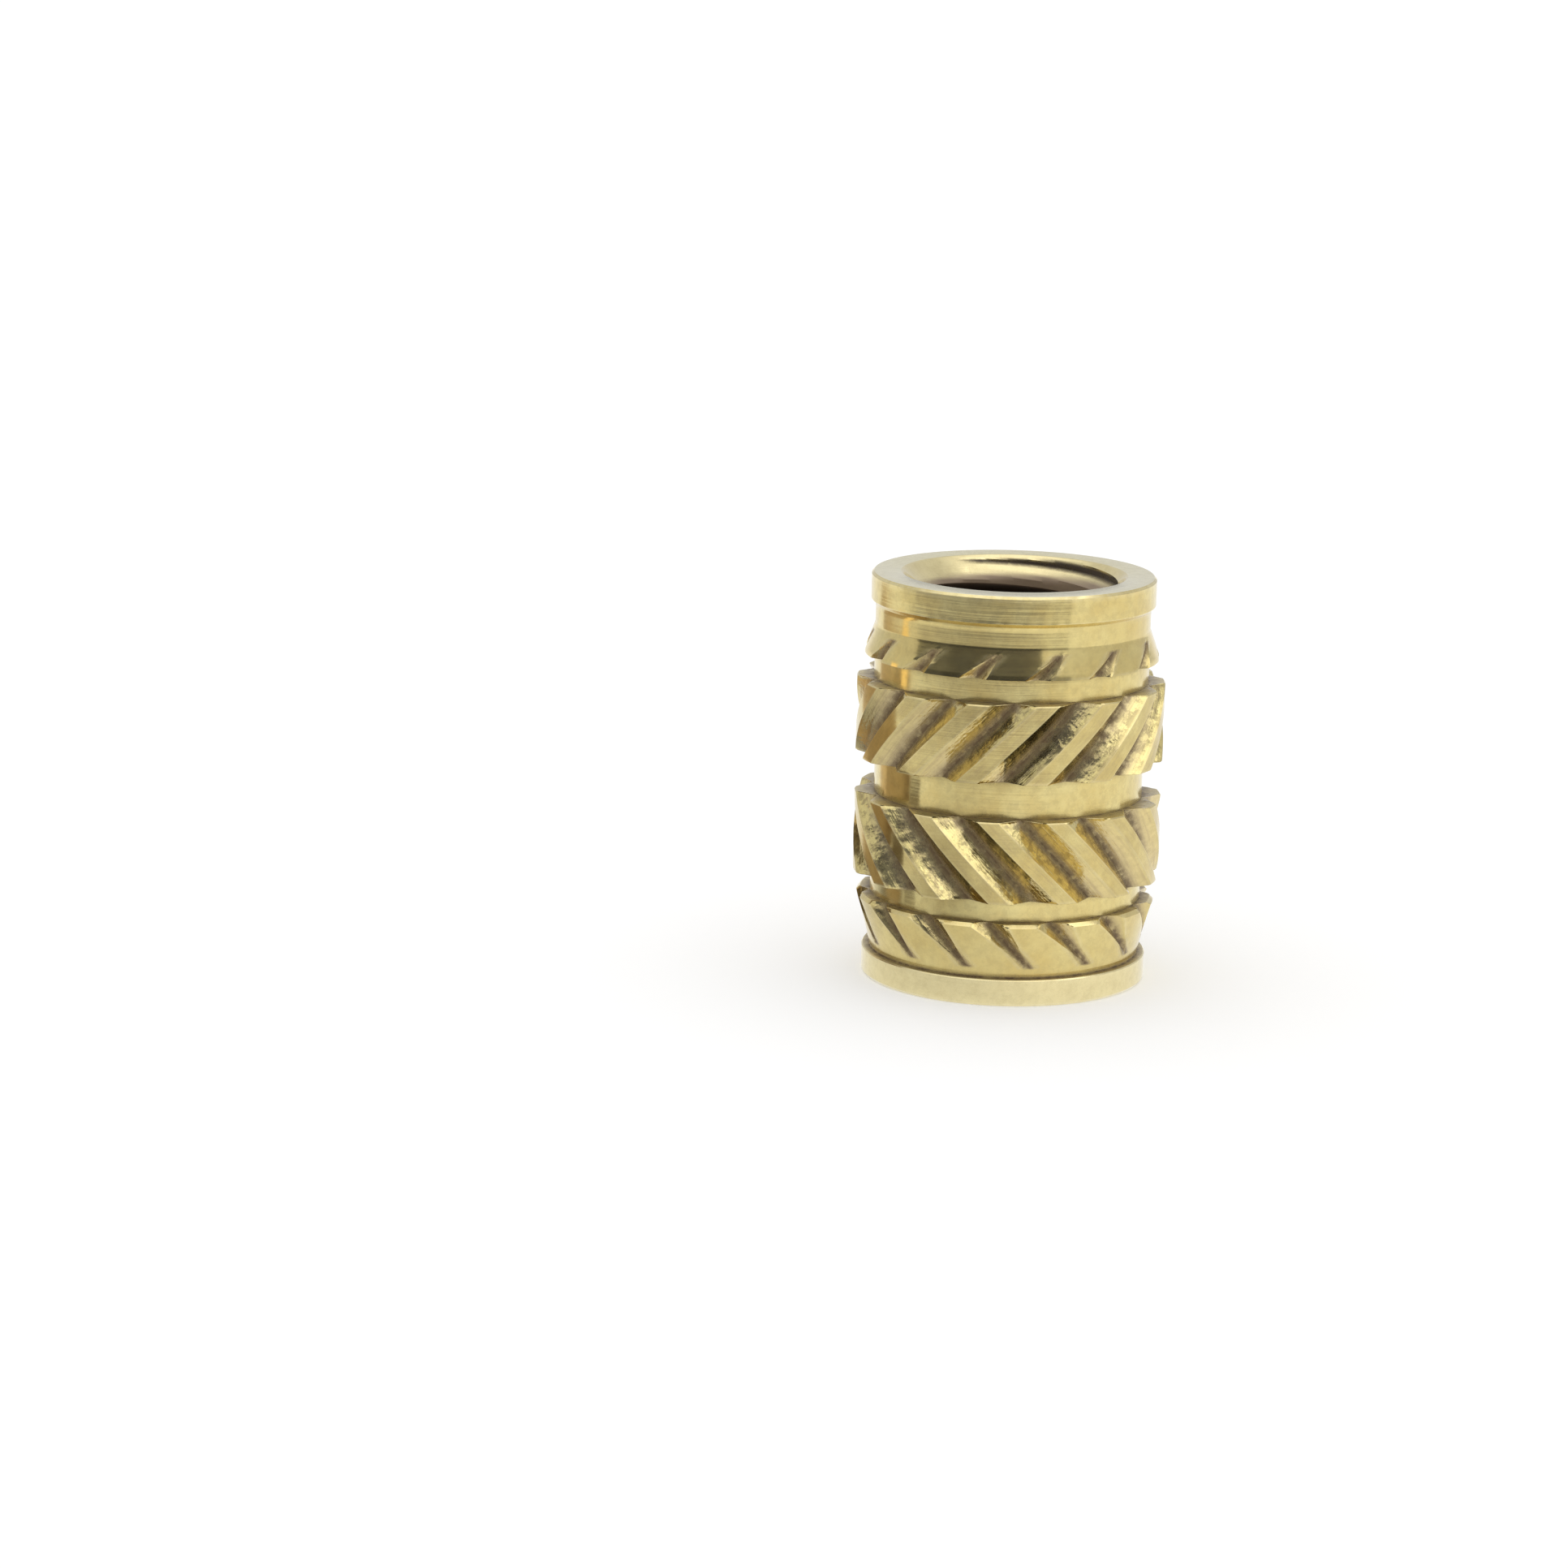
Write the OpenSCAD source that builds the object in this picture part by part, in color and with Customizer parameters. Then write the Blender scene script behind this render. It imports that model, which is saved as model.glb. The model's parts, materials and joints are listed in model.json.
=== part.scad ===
// Heat-set threaded insert, turned and knurled from brass bar in one piece.
//
// From the bottom up: a plain lead-in collar, a toothed taper, a groove, a
// knurled band, the middle groove, a second knurled band with the opposite
// hand, a groove, a short toothed taper, a plain neck and the top rim.
// The teeth of each taper run on in line with those of the band beside it.
//
// The insert stands on its collar, with the origin at the middle of that
// face and the bore along +Z. Lengths are in millimetres, angles in degrees.

/* [Bore] */
// Diameter of the bore at the crests of its thread
bore_d = 4.2; // [2.6:0.1:4.8]
// Diameter of the countersink where it meets each end face
countersink_d = 5.2; // [4.9:0.1:5.8]
// Included angle of each countersink
countersink_angle = 90; // [60:5:120]

/* [Lead-in collar] */
// Diameter of the plain collar at the bottom
collar_d = 6.65; // [6.4:0.05:7]
// Height of the collar
collar_h = 0.62; // [0.3:0.02:1.5]

/* [Lower taper] */
// Diameter of the lower taper where it meets the collar
lower_taper_small_d = 6.3; // [6.1:0.02:6.5]
// Diameter of the lower taper under the bevel of its top edge
lower_taper_large_d = 6.96; // [6.6:0.02:7.1]
// Height of the lower taper with its bevel
lower_taper_h = 1.33; // [0.81:0.02:2.5]
// Depth by which the side of the lower taper is hollowed
lower_taper_hollow = 0.02; // [0:0.01:0.06]
// Size of the bevel on the top edge of the lower taper
lower_taper_bevel = 0.08; // [0.02:0.01:0.12]

/* [Grooves] */
// Diameter of the floor of the groove under the lower band
lower_groove_d = 6.34; // [5.9:0.02:6.4]
// Height of the groove under the lower band
lower_groove_h = 0.5; // [0.2:0.02:1.2]
// Diameter of the floor of the groove between the two bands
middle_groove_d = 6.26; // [5.8:0.02:6.4]
// Height of the groove between the two bands
middle_groove_h = 0.88; // [0.3:0.02:1.6]
// Diameter of the floor of the groove over the upper band
upper_groove_d = 6.38; // [5.9:0.02:6.5]
// Height of the groove over the upper band
upper_groove_h = 0.55; // [0.21:0.02:1.2]

/* [Knurled bands] */
// Diameter over the teeth of both bands
knurl_d = 7.16; // [6.9:0.02:7.5]
// Height of the lower band
lower_band_h = 1.9; // [1:0.02:3.5]
// Height of the upper band
upper_band_h = 1.82; // [1:0.02:3.5]

/* [Teeth] */
// Number of teeth round the insert
teeth = 14; // [10:1:16]
// Depth of the valleys of the lower band below the knurled diameter
lower_valley_depth = 0.38; // [0.2:0.01:0.42]
// Depth of the valleys of the upper band below the knurled diameter
upper_valley_depth = 0.35; // [0.2:0.01:0.42]
// Included angle of a valley, across its length
valley_angle = 104; // [80:2:108]
// Angle between the valleys and the axis, at the knurled diameter
helix_angle = 45.5; // [30:0.5:47]
// Direction of one valley at the foot of the lower band
lower_phase = 24; // [0:1:25]
// Direction of one valley at the foot of the upper band
upper_phase = 11; // [0:1:25]

/* [Upper taper] */
// Diameter of the upper taper at its bottom edge
upper_taper_large_d = 6.86; // [6.6:0.02:7.1]
// Height of the upper taper
upper_taper_h = 0.7; // [0.4:0.02:1.4]
// Radius of the rounding at the bottom edge of the upper taper
upper_taper_round = 0.04; // [0.02:0.01:0.16]

/* [Neck and rim] */
// Diameter of the plain neck under the rim
neck_d = 6.38; // [6:0.02:6.5]
// Height of the neck, up to the slope under the rim
neck_h = 0.47; // [0.21:0.02:1.2]
// Height of the slope between the neck and the rim
rim_slope_h = 0.1; // [0.04:0.02:0.3]
// Diameter of the rim at the top
rim_d = 6.6; // [6.5:0.05:7]
// Height of the rim
rim_h = 0.63; // [0.31:0.02:1.5]

/* [Edges] */
// Size of the bevel on the outer edges of the two end faces
end_bevel = 0.06; // [0.02:0.01:0.15]

/* [Hidden] */
$fn = 96;

// Levels from the bottom face up
collar_top = collar_h;
lower_taper_top = collar_top + lower_taper_h;
lower_band_foot = lower_taper_top + lower_groove_h;
lower_band_top = lower_band_foot + lower_band_h;
upper_band_foot = lower_band_top + middle_groove_h;
upper_band_top = upper_band_foot + upper_band_h;
upper_taper_foot = upper_band_top + upper_groove_h;
upper_taper_top = upper_taper_foot + upper_taper_h;
neck_top = upper_taper_top + neck_h;
rim_foot = neck_top + rim_slope_h;
height = rim_foot + rim_h;

countersink_depth = (countersink_d - bore_d) / 2 / tan(countersink_angle / 2);

// Radius over the teeth, the widest radius that the valleys run through, and the
// turn that they make along the axis
knurl_r = knurl_d / 2;
widest_r = max(knurl_d, lower_taper_large_d, upper_taper_large_d) / 2;
turn_per_mm = tan(helix_angle) / knurl_r * 180 / PI;

// Run of the valley cutters past the widest radius, the turn of one step, and
// the distance that their ends keep from the shoulders of the collar and the rim
cutter_reach = 0.05;
step_turn = 4;
shoulder_gap = 0.1;
// Overrun of the bore's cutters past the end faces
overrun = 1;
// Steps along the hollow side of the lower taper, and round the upper taper's edge
hollow_steps = 6;
round_steps = 4;

function mix(a, b, t) = a + (b - a) * t;

// Side of the lower taper, from the collar up to its bevel, bowed inwards by
// the hollow
function lower_taper_side() = [
    for (i = [0 : hollow_steps])
        let (t = i / hollow_steps)
        [
            mix(lower_taper_small_d, lower_taper_large_d, t) / 2
                - 4 * lower_taper_hollow * t * (1 - t),
            mix(collar_top, lower_taper_top - lower_taper_bevel, t)
        ]
];

// Rounded bottom edge of the upper taper, from the groove's side outwards
function upper_taper_edge() = [
    for (i = [0 : round_steps])
        let (a = -90 + 90 * i / round_steps)
        [
            upper_taper_large_d / 2 - upper_taper_round * (1 - cos(a)),
            upper_taper_foot + upper_taper_round * (1 + sin(a))
        ]
];

// Half section of the turned blank, without its teeth and its bore
module blank_section() {
    polygon(concat(
        [
            [0, 0],
            [collar_d / 2 - end_bevel, 0],
            [collar_d / 2, end_bevel],
            [collar_d / 2, collar_top]
        ],
        lower_taper_side(),
        [
            [lower_taper_large_d / 2 - lower_taper_bevel, lower_taper_top],
            [lower_groove_d / 2, lower_taper_top],
            [lower_groove_d / 2, lower_band_foot],
            [knurl_r, lower_band_foot],
            [knurl_r, lower_band_top],
            [middle_groove_d / 2, lower_band_top],
            [middle_groove_d / 2, upper_band_foot],
            [knurl_r, upper_band_foot],
            [knurl_r, upper_band_top],
            [upper_groove_d / 2, upper_band_top],
            [upper_groove_d / 2, upper_taper_foot]
        ],
        upper_taper_edge(),
        [
            [neck_d / 2, upper_taper_top],
            [neck_d / 2, neck_top],
            [rim_d / 2, rim_foot],
            [rim_d / 2, height - end_bevel],
            [rim_d / 2 - end_bevel, height],
            [0, height]
        ]
    ));
}

// One helical V valley, which rises from z = 0 and turns by the given angle
module helical_valley(depth, length, turn) {
    valley_r = knurl_r - depth;
    mouth_r = widest_r + cutter_reach;
    mouth_half = (mouth_r - valley_r) * tan(valley_angle / 2) / cos(helix_angle);
    steps = ceil(abs(turn) / step_turn);
    linear_extrude(height = length, twist = -turn, slices = steps, segments = 1)
        polygon([[valley_r, 0], [mouth_r, mouth_half], [mouth_r, -mouth_half]]);
}

// All the valleys of one hand between two levels; one of them points along
// the phase at the level given as foot
module valleys(depth, from, to, foot, phase, hand) {
    start = phase + hand * turn_per_mm * (from - foot);
    for (i = [0 : teeth - 1])
        translate([0, 0, from])
            rotate([0, 0, start + i * 360 / teeth])
                helical_valley(depth, to - from, hand * turn_per_mm * (to - from));
}

// Left-hand valleys of the lower taper and the lower band
module lower_valleys() {
    middle = (lower_band_top + upper_band_foot) / 2;
    from = collar_top + shoulder_gap;
    valleys(lower_valley_depth, from, middle, lower_band_foot, lower_phase, -1);
}

// Right-hand valleys of the upper band and the upper taper
module upper_valleys() {
    middle = (lower_band_top + upper_band_foot) / 2;
    to = neck_top - shoulder_gap;
    valleys(upper_valley_depth, middle, to, upper_band_foot, upper_phase, 1);
}

// Through bore with a countersink at both ends
module bore() {
    translate([0, 0, -overrun])
        cylinder(h = height + 2 * overrun, d = bore_d);
    countersink();
    translate([0, 0, height])
        mirror([0, 0, 1])
            countersink();
}

// Countersink at the bottom face; its cone runs on below the face
module countersink() {
    slope = tan(countersink_angle / 2);
    translate([0, 0, -overrun])
        cylinder(
            h = overrun + countersink_depth,
            d1 = countersink_d + 2 * overrun * slope,
            d2 = bore_d
        );
}

module insert() {
    color([0.83, 0.76, 0.47])
        difference() {
            rotate_extrude()
                blank_section();
            lower_valleys();
            upper_valleys();
            bore();
        }
}

insert();
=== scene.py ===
"""Dressed model of a brass heat-set insert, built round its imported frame.

The frame holds the insert as one plain solid. This script replaces it with one closed mesh of the same
size, which adds the worked surface: knurled valleys with torn and streaked sides, broken edges and the
internal thread with its run-out in the countersinks. Lengths are in millimetres until a mesh is made.
"""

import json
import logging
import math
from dataclasses import dataclass, field, replace
from enum import Enum

import bpy
import numpy as np
from mathutils import Matrix, Vector, noise

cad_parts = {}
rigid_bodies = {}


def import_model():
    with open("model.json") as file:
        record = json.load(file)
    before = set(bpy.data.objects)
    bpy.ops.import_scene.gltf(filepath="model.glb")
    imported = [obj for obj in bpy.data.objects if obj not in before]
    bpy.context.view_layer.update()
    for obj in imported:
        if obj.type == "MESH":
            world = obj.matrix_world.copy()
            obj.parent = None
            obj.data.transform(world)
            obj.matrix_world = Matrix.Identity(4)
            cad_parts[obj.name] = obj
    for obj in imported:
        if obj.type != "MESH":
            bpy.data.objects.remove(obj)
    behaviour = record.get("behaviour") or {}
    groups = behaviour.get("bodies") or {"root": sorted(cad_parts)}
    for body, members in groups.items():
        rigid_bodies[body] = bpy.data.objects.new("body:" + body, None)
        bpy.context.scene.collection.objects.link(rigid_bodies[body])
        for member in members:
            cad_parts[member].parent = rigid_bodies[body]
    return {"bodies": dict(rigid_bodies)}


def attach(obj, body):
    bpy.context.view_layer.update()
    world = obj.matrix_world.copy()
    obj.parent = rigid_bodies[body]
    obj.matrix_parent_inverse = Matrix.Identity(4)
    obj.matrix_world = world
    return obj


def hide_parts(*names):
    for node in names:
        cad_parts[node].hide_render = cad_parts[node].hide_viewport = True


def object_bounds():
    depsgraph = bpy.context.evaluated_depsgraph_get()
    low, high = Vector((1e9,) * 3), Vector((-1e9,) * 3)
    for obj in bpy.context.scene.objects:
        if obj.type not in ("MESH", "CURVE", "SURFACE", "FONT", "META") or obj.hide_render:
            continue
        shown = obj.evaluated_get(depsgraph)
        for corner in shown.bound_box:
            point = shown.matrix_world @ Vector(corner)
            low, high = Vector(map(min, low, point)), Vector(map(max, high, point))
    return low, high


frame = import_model()
CAD_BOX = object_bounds()

LOG = logging.getLogger("insert")
MM = 0.001
FULL_TURN = 360.0
ON_LAND = 9.0
EDGE_ROUND = 0.028
FINE_STEP = 0.058
COARSE_STEP = 0.12
CORNER_STEP = 0.02

Colour = tuple[float, float, float, float]
Socket = bpy.types.NodeSocket
COLD: Colour = (0.97, 1.0, 1.2, 1.0)


class Hand(Enum):
    """Hand of a helix: the way in which it turns as it rises."""

    LEFT = -1
    RIGHT = 1


class Mask(Enum):
    """Surface masks that the mesh carries for its finish, and for its painted shade and highlights."""

    CUT = "cut"
    ROOT = "root"
    EDGE = "edge"
    RECESS = "recess"
    BORE = "bore"
    TORN = "torn"


def levels(start: float, stop: float, step: float) -> list[float]:
    """Even levels between start and stop, both left out, at most a step apart."""
    count = max(2, math.ceil((stop - start) / step))
    return np.linspace(start, stop, count + 1)[1:-1].tolist()


@dataclass(frozen=True)
class Valleys:
    """Helical V valleys of one band, which run on into the taper beside it.

    Angles are in degrees. The helix is measured from the axis, and lean turns both sides to the right.
    """

    hand: Hand
    phase: float
    foot: float
    floor_radius: float
    teeth: int = 14
    outer_radius: float = 3.58
    angle: float = 92.0
    lean: float = 0.0
    root_round: float = 0.02
    helix: float = 45.5
    least_opening: float = 0.12
    flank_columns: int = 8
    land_columns: int = 8

    @property
    def pitch(self) -> float:
        """Angle from one valley to the next, in degrees."""
        return FULL_TURN / self.teeth

    @property
    def tooth_columns(self) -> int:
        """Number of columns of points from one valley to the next."""
        return 2 * self.flank_columns + self.land_columns

    @property
    def turn_per_mm(self) -> float:
        """Turn of the valleys along the axis, in degrees a millimetre."""
        return math.degrees(math.tan(math.radians(self.helix)) / self.outer_radius)

    def direction(self, level: float) -> float:
        """Direction of one valley at a level, in degrees."""
        return self.phase + self.hand.value * self.turn_per_mm * (level - self.foot)

    def point(self, steps: np.ndarray, opening: float) -> tuple[np.ndarray, np.ndarray]:
        """Radius and angle of points across a valley.

        Args:
            steps: Places across the valley, from -1 at its left edge to 1 at its right edge.
            opening: Height of the edges over the valley's floor line.

        Returns:
            The radius, and the angle from the valley's middle in degrees.
        """
        rise = np.abs(steps) * opening
        half = np.radians(self.angle / 2 - np.sign(steps) * self.lean)
        run = np.sqrt((rise + self.root_round) ** 2 - self.root_round**2) * np.tan(half)
        radius = self.floor_radius + rise
        return radius, np.degrees(np.sign(steps) * run / math.cos(math.radians(self.helix)) / radius)

    def opening(self, radius: float) -> float:
        """Height of a blank over the floor line, or the least one where it is lower."""
        return max(self.least_opening, radius - self.floor_radius)

    def step_radii(self, spread: float, low: float, high: float, least: float = 0.004) -> list[float]:
        """Radii at which a shoulder from low to high needs a ring, so that the sides cut it cleanly."""
        radii = self.floor_radius + np.linspace(0, self.opening(spread), self.flank_columns + 1)
        return [float(r) for r in radii if low + least < r < high - least]


@dataclass(frozen=True)
class Ring:
    """One ring of points of the outer skin.

    The radius is the turned blank's, and valleys cut it where cut is set. Their columns are spread as on a
    blank of the radius spread, and turned by the helix up to level. Recess and edge say how far the ring
    lies in a corner or on an edge, and even how evenly its columns are spaced, all from 0 to 1.
    """

    valleys: Valleys
    radius: float
    height: float
    spread: float
    level: float
    cut: bool = True
    recess: float = 0.0
    edge: float = 0.0
    even: float = 0.0


def plain_ring(
    valleys: Valleys, level: float, radius: float, height: float,
    edge: float = 0.0, recess: float = 0.0, even: float = 1.0,
) -> Ring:
    """Makes a ring that no valley cuts; its arguments are the fields of Ring."""
    return Ring(valleys, radius, height, 0.0, level, False, recess, edge, even)


@dataclass(frozen=True)
class Groove:
    """Turned groove between two toothed parts, with the shoulders on both sides of its floor.

    The floor runs from start to stop, and the parts below and above it have the radii start_r and stop_r.
    The broken edge of the part below has its own rings.
    """

    below: Valleys
    above: Valleys
    radius: float
    start: float
    stop: float
    start_r: float
    stop_r: float
    broken: float = EDGE_ROUND
    corner_recess: float = 0.6
    shoulder_fade: float = 0.8
    edge_wear_and_glint: float = 0.9

    def rings(self) -> list[Ring]:
        """Rings from the edge of the part below to the edge of the part above.

        Returns:
            The rings in order.
        """
        low = self.below.step_radii(self.start_r, self.radius, self.start_r - self.broken)
        high = self.above.step_radii(self.stop_r, self.radius, self.stop_r - EDGE_ROUND)
        inward, outward = [*reversed(low), self.radius], [self.radius, *high]
        rings = [self._shoulder(self.below, self.start, self.start_r, r) for r in inward]
        rings += self._floor()
        rings += [self._shoulder(self.above, self.stop, self.stop_r, r) for r in outward]
        for turn in (0.0, math.pi / 4):
            r = self.stop_r - EDGE_ROUND * (1 - math.sin(turn))
            z = self.stop + EDGE_ROUND * (1 - math.cos(turn))
            rings.append(Ring(self.above, r, z, self.stop_r, self.stop, edge=self.edge_wear_and_glint))
        return rings

    def _shoulder(self, valleys: Valleys, z: float, large: float, r: float) -> Ring:
        """Ring of a shoulder, most recessed in the corner."""
        fade = self.shoulder_fade * (r - self.radius) / (large - self.radius)
        return Ring(valleys, r, z, spread=large, level=z, recess=1.0 - fade)

    def _floor(self) -> list[Ring]:
        """Rings of the floor.

        Returns:
            The rings in order, both corners left out.
        """
        low, high = self.start + CORNER_STEP, self.stop - CORNER_STEP
        rings = []
        for z in [low, *levels(low, high, COARSE_STEP), high]:
            t = (z - self.start) / (self.stop - self.start)
            spread = self.start_r + (self.stop_r - self.start_r) * t
            near = min(z - self.start, self.stop - z)
            recess = self.corner_recess * math.exp(-near / CORNER_STEP)
            rings.append(Ring(self.below, self.radius, z, spread, z, cut=False, recess=recess))
        return rings


@dataclass(frozen=True)
class Blank:
    """Turned blank of the insert, from its lead-in collar to its rim."""

    height: float = 9.5
    collar_r: float = 3.325
    collar_top: float = 0.62
    gap_r: float = 3.16
    gap_h: float = 0.03
    lower_taper_start: float = 0.012
    lower_taper_small_r: float = 3.15
    lower_taper_large_r: float = 3.48
    lower_taper_top: float = 1.95
    lower_taper_hollow: float = 0.02
    lower_taper_bevel: float = 0.08
    lower_groove_r: float = 3.17
    lower_band_foot: float = 2.45
    lower_band_top: float = 4.35
    middle_groove_r: float = 3.13
    upper_band_foot: float = 5.23
    upper_band_top: float = 7.05
    upper_groove_r: float = 3.19
    upper_taper_foot: float = 7.6
    upper_taper_large_r: float = 3.43
    upper_taper_top: float = 8.3
    neck_r: float = 3.19
    neck_top: float = 8.77
    rim_foot: float = 8.87
    rim_r: float = 3.3
    end_bevel: float = 0.06

    @property
    def lower_valleys(self) -> Valleys:
        """Left-hand valleys of the lower taper and the lower band."""
        return Valleys(Hand.LEFT, phase=24.0, foot=self.lower_band_foot, floor_radius=3.2, angle=90.0)

    @property
    def upper_valleys(self) -> Valleys:
        """Right-hand valleys of the upper band and the upper taper."""
        return Valleys(Hand.RIGHT, phase=11.0, foot=self.upper_band_foot, floor_radius=3.23, lean=2.0)

    @property
    def hand_level(self) -> float:
        """Height over which the valleys have the other hand."""
        return (self.lower_band_top + self.upper_band_foot) / 2

    def rings(self) -> list[Ring]:
        """Rings of the outer skin from the bottom face up.

        Returns:
            The rings in order.
        """
        low, up = self.lower_valleys, self.upper_valleys
        band, small, large = low.outer_radius, self.upper_taper_large_r, self.lower_taper_large_r
        lower = Groove(low, low, self.lower_groove_r, self.lower_taper_top, self.lower_band_foot, large, band)
        lower = replace(lower, broken=self.lower_taper_bevel)
        middle = Groove(low, up, self.middle_groove_r, self.lower_band_top, self.upper_band_foot, band, band)
        upper = Groove(up, up, self.upper_groove_r, self.upper_band_top, self.upper_taper_foot, band, small)
        parts = (
            self._collar_rings(), self._lower_taper_rings(),
            lower.rings(), self._band_rings(low, self.lower_band_foot, self.lower_band_top),
            middle.rings(), self._band_rings(up, self.upper_band_foot, self.upper_band_top),
            upper.rings(), self._upper_taper_rings(), self._neck_and_rim_rings(),
        )
        return [ring for part in parts for ring in part]

    def _collar_rings(self) -> list[Ring]:
        """Rings of the collar and of the fine gap over it.

        Returns:
            The rings in order.
        """
        r, b, e, top = self.collar_r, self.end_bevel, EDGE_ROUND, self.collar_top
        rows = [(r - b, 0.0, 0.6), (r, b, 0.6), *((r, z) for z in levels(b, top - e, COARSE_STEP))]
        rows += [
            (r, top - e, 0.5),
            (r - 0.5 * e, top - 0.5 * e, 1.0),
            (r - e, top, 0.6, 0.4, 0.9),
            (self.gap_r, top, 0.0, 1.0, 0.7),
            (self.gap_r, top + self.gap_h, 0.0, 1.0, 0.4),
        ]
        return [plain_ring(self.lower_valleys, top, *row) for row in rows]

    def _lower_taper_rings(self) -> list[Ring]:
        """Rings of the toothed lower taper with its hollow side, and of the bevel of its top edge.

        Returns:
            The rings in order.
        """
        small, large, bevel = self.lower_taper_small_r, self.lower_taper_large_r, self.lower_taper_bevel
        start, stop = self.collar_top + self.gap_h, self.lower_taper_top - bevel
        first = start + self.lower_taper_start
        low, rings = self.lower_valleys, []
        for z in [first, *levels(first, stop, FINE_STEP), stop]:
            t = (z - self.collar_top) / (stop - self.collar_top)
            r = small + (large - small) * t - 4 * self.lower_taper_hollow * t * (1 - t)
            near = max(0.0, 1 - (z - start) / (3 * CORNER_STEP))
            rings.append(Ring(low, r, z, spread=r, level=z, recess=Groove.corner_recess * near))
        for t, edge in ((0.12, 0.8), (0.5, 0.5), (0.88, 0.5), (1.0, 0.5)):
            z = stop + bevel * t
            rings.append(Ring(low, large - bevel * t, z, spread=large, level=z, edge=edge))
        return rings

    def _band_rings(self, valleys: Valleys, start: float, stop: float) -> list[Ring]:
        """Rings of a knurled band, between its two shoulders.

        Args:
            valleys: The valleys of the band.
            start: Height of the foot.
            stop: Height of the top.

        Returns:
            The rings in order.
        """
        e, r = EDGE_ROUND, valleys.outer_radius
        rows = [(start + e, 0.5), (stop - e, 0.5)]
        rows[1:1] = [(z, 0.0) for z in levels(start + e, stop - e, FINE_STEP)]
        return [Ring(valleys, r, z, spread=r, level=z, edge=edge) for z, edge in rows] + [
            Ring(valleys, r - 0.5 * e, stop - 0.5 * e, spread=r, level=stop, edge=1.0),
            Ring(valleys, r - e, stop, spread=r, level=stop, edge=0.7),
        ]

    def _upper_taper_rings(self) -> list[Ring]:
        """Rings of the toothed upper taper.

        Returns:
            The rings in order.
        """
        start, top = self.upper_taper_foot + EDGE_ROUND, self.upper_taper_top
        large, small = self.upper_taper_large_r, self.neck_r
        rings = []
        for z in [*levels(start, top, FINE_STEP), top]:
            r = large + (small - large) * (z - start) / (top - start)
            rings.append(Ring(self.upper_valleys, r, z, spread=r, level=z))
        return rings

    def _neck_and_rim_rings(self) -> list[Ring]:
        """Rings of the plain neck, of the slope under the rim and of the rim.

        Returns:
            The rings in order.
        """
        b, foot, top, rim_foot = self.end_bevel, self.upper_taper_top, self.neck_top, self.rim_foot
        start, stop = foot + CORNER_STEP, top - CORNER_STEP / 2
        rows = [
            (self.neck_r, z, 0.0, 0.0, (z - foot) / (top - foot))
            for z in [start, *levels(start, stop, COARSE_STEP), stop]
        ]
        rows += [
            (self.neck_r + (self.rim_r - self.neck_r) * t, top + (rim_foot - top) * t, edge)
            for t, edge in ((0.1, 0.0), (0.5, 0.0), (0.85, 0.4), (1.0, 0.8))
        ]
        start = rim_foot + EDGE_ROUND
        rows += [(self.rim_r, z) for z in [start, *levels(start, self.height - b, COARSE_STEP)]]
        rows += [
            (self.rim_r - b * t, self.height - b * (1 - t), edge)
            for t, edge in ((0.0, 0.5), (0.5, 1.0), (1.0, 0.5))
        ]
        return [plain_ring(self.upper_valleys, foot, *row) for row in rows]


@dataclass(frozen=True)
class Bore:
    """Threaded bore with a countersink at both ends.

    At start_angle the middle of the uppermost groove has the height start_level. Angles are in degrees.
    """

    crest_r: float = 2.1
    root_r: float = 2.5
    pitch: float = 0.8
    mouth_r: float = 2.6
    mouth_break: float = 0.03
    break_step: float = 0.3
    start_angle: float = 90.0
    start_level: float = 9.375
    columns: int = 168
    root_flat: float = 0.1
    flank_angle: float = 30.0
    # the bore is painted darker, as painted shade, from this depth under the end faces
    brown_from: float = 0.35
    brown_fade: float = 0.1
    slit_fade: float = 0.03
    slit_from: float = -0.51
    slit_to: float = 0.5

    @property
    def flank_width(self) -> float:
        """Height of one flank of the thread along the axis."""
        return (self.root_r - self.crest_r) * math.tan(math.radians(self.flank_angle))

    def steps(self) -> np.ndarray:
        """Profile of the thread over one pitch.

        Returns:
            Offsets of the profile's points from the groove's middle.
        """
        side = self.root_flat / 2 + self.flank_width * np.array([0.0, 0.33, 0.66, 1.0])
        land = side[-1] + (self.pitch - 2 * side[-1]) * np.array([1 / 3, 2 / 3])
        return np.concatenate([-side[::-1], [0.0], side, land])

    def groove_radius(self, offset: np.ndarray) -> np.ndarray:
        """Radius of the thread at an offset from the nearest groove's middle."""
        depth = np.clip(1 - (np.abs(offset) - self.root_flat / 2) / self.flank_width, 0, 1)
        return self.crest_r + (self.root_r - self.crest_r) * depth

    def cone_radius(self, depth: np.ndarray) -> np.ndarray:
        """Radius of the countersinks at a depth under the nearest end face."""
        return self.crest_r + np.clip(self.mouth_r - self.crest_r - depth, 0, None)


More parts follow.
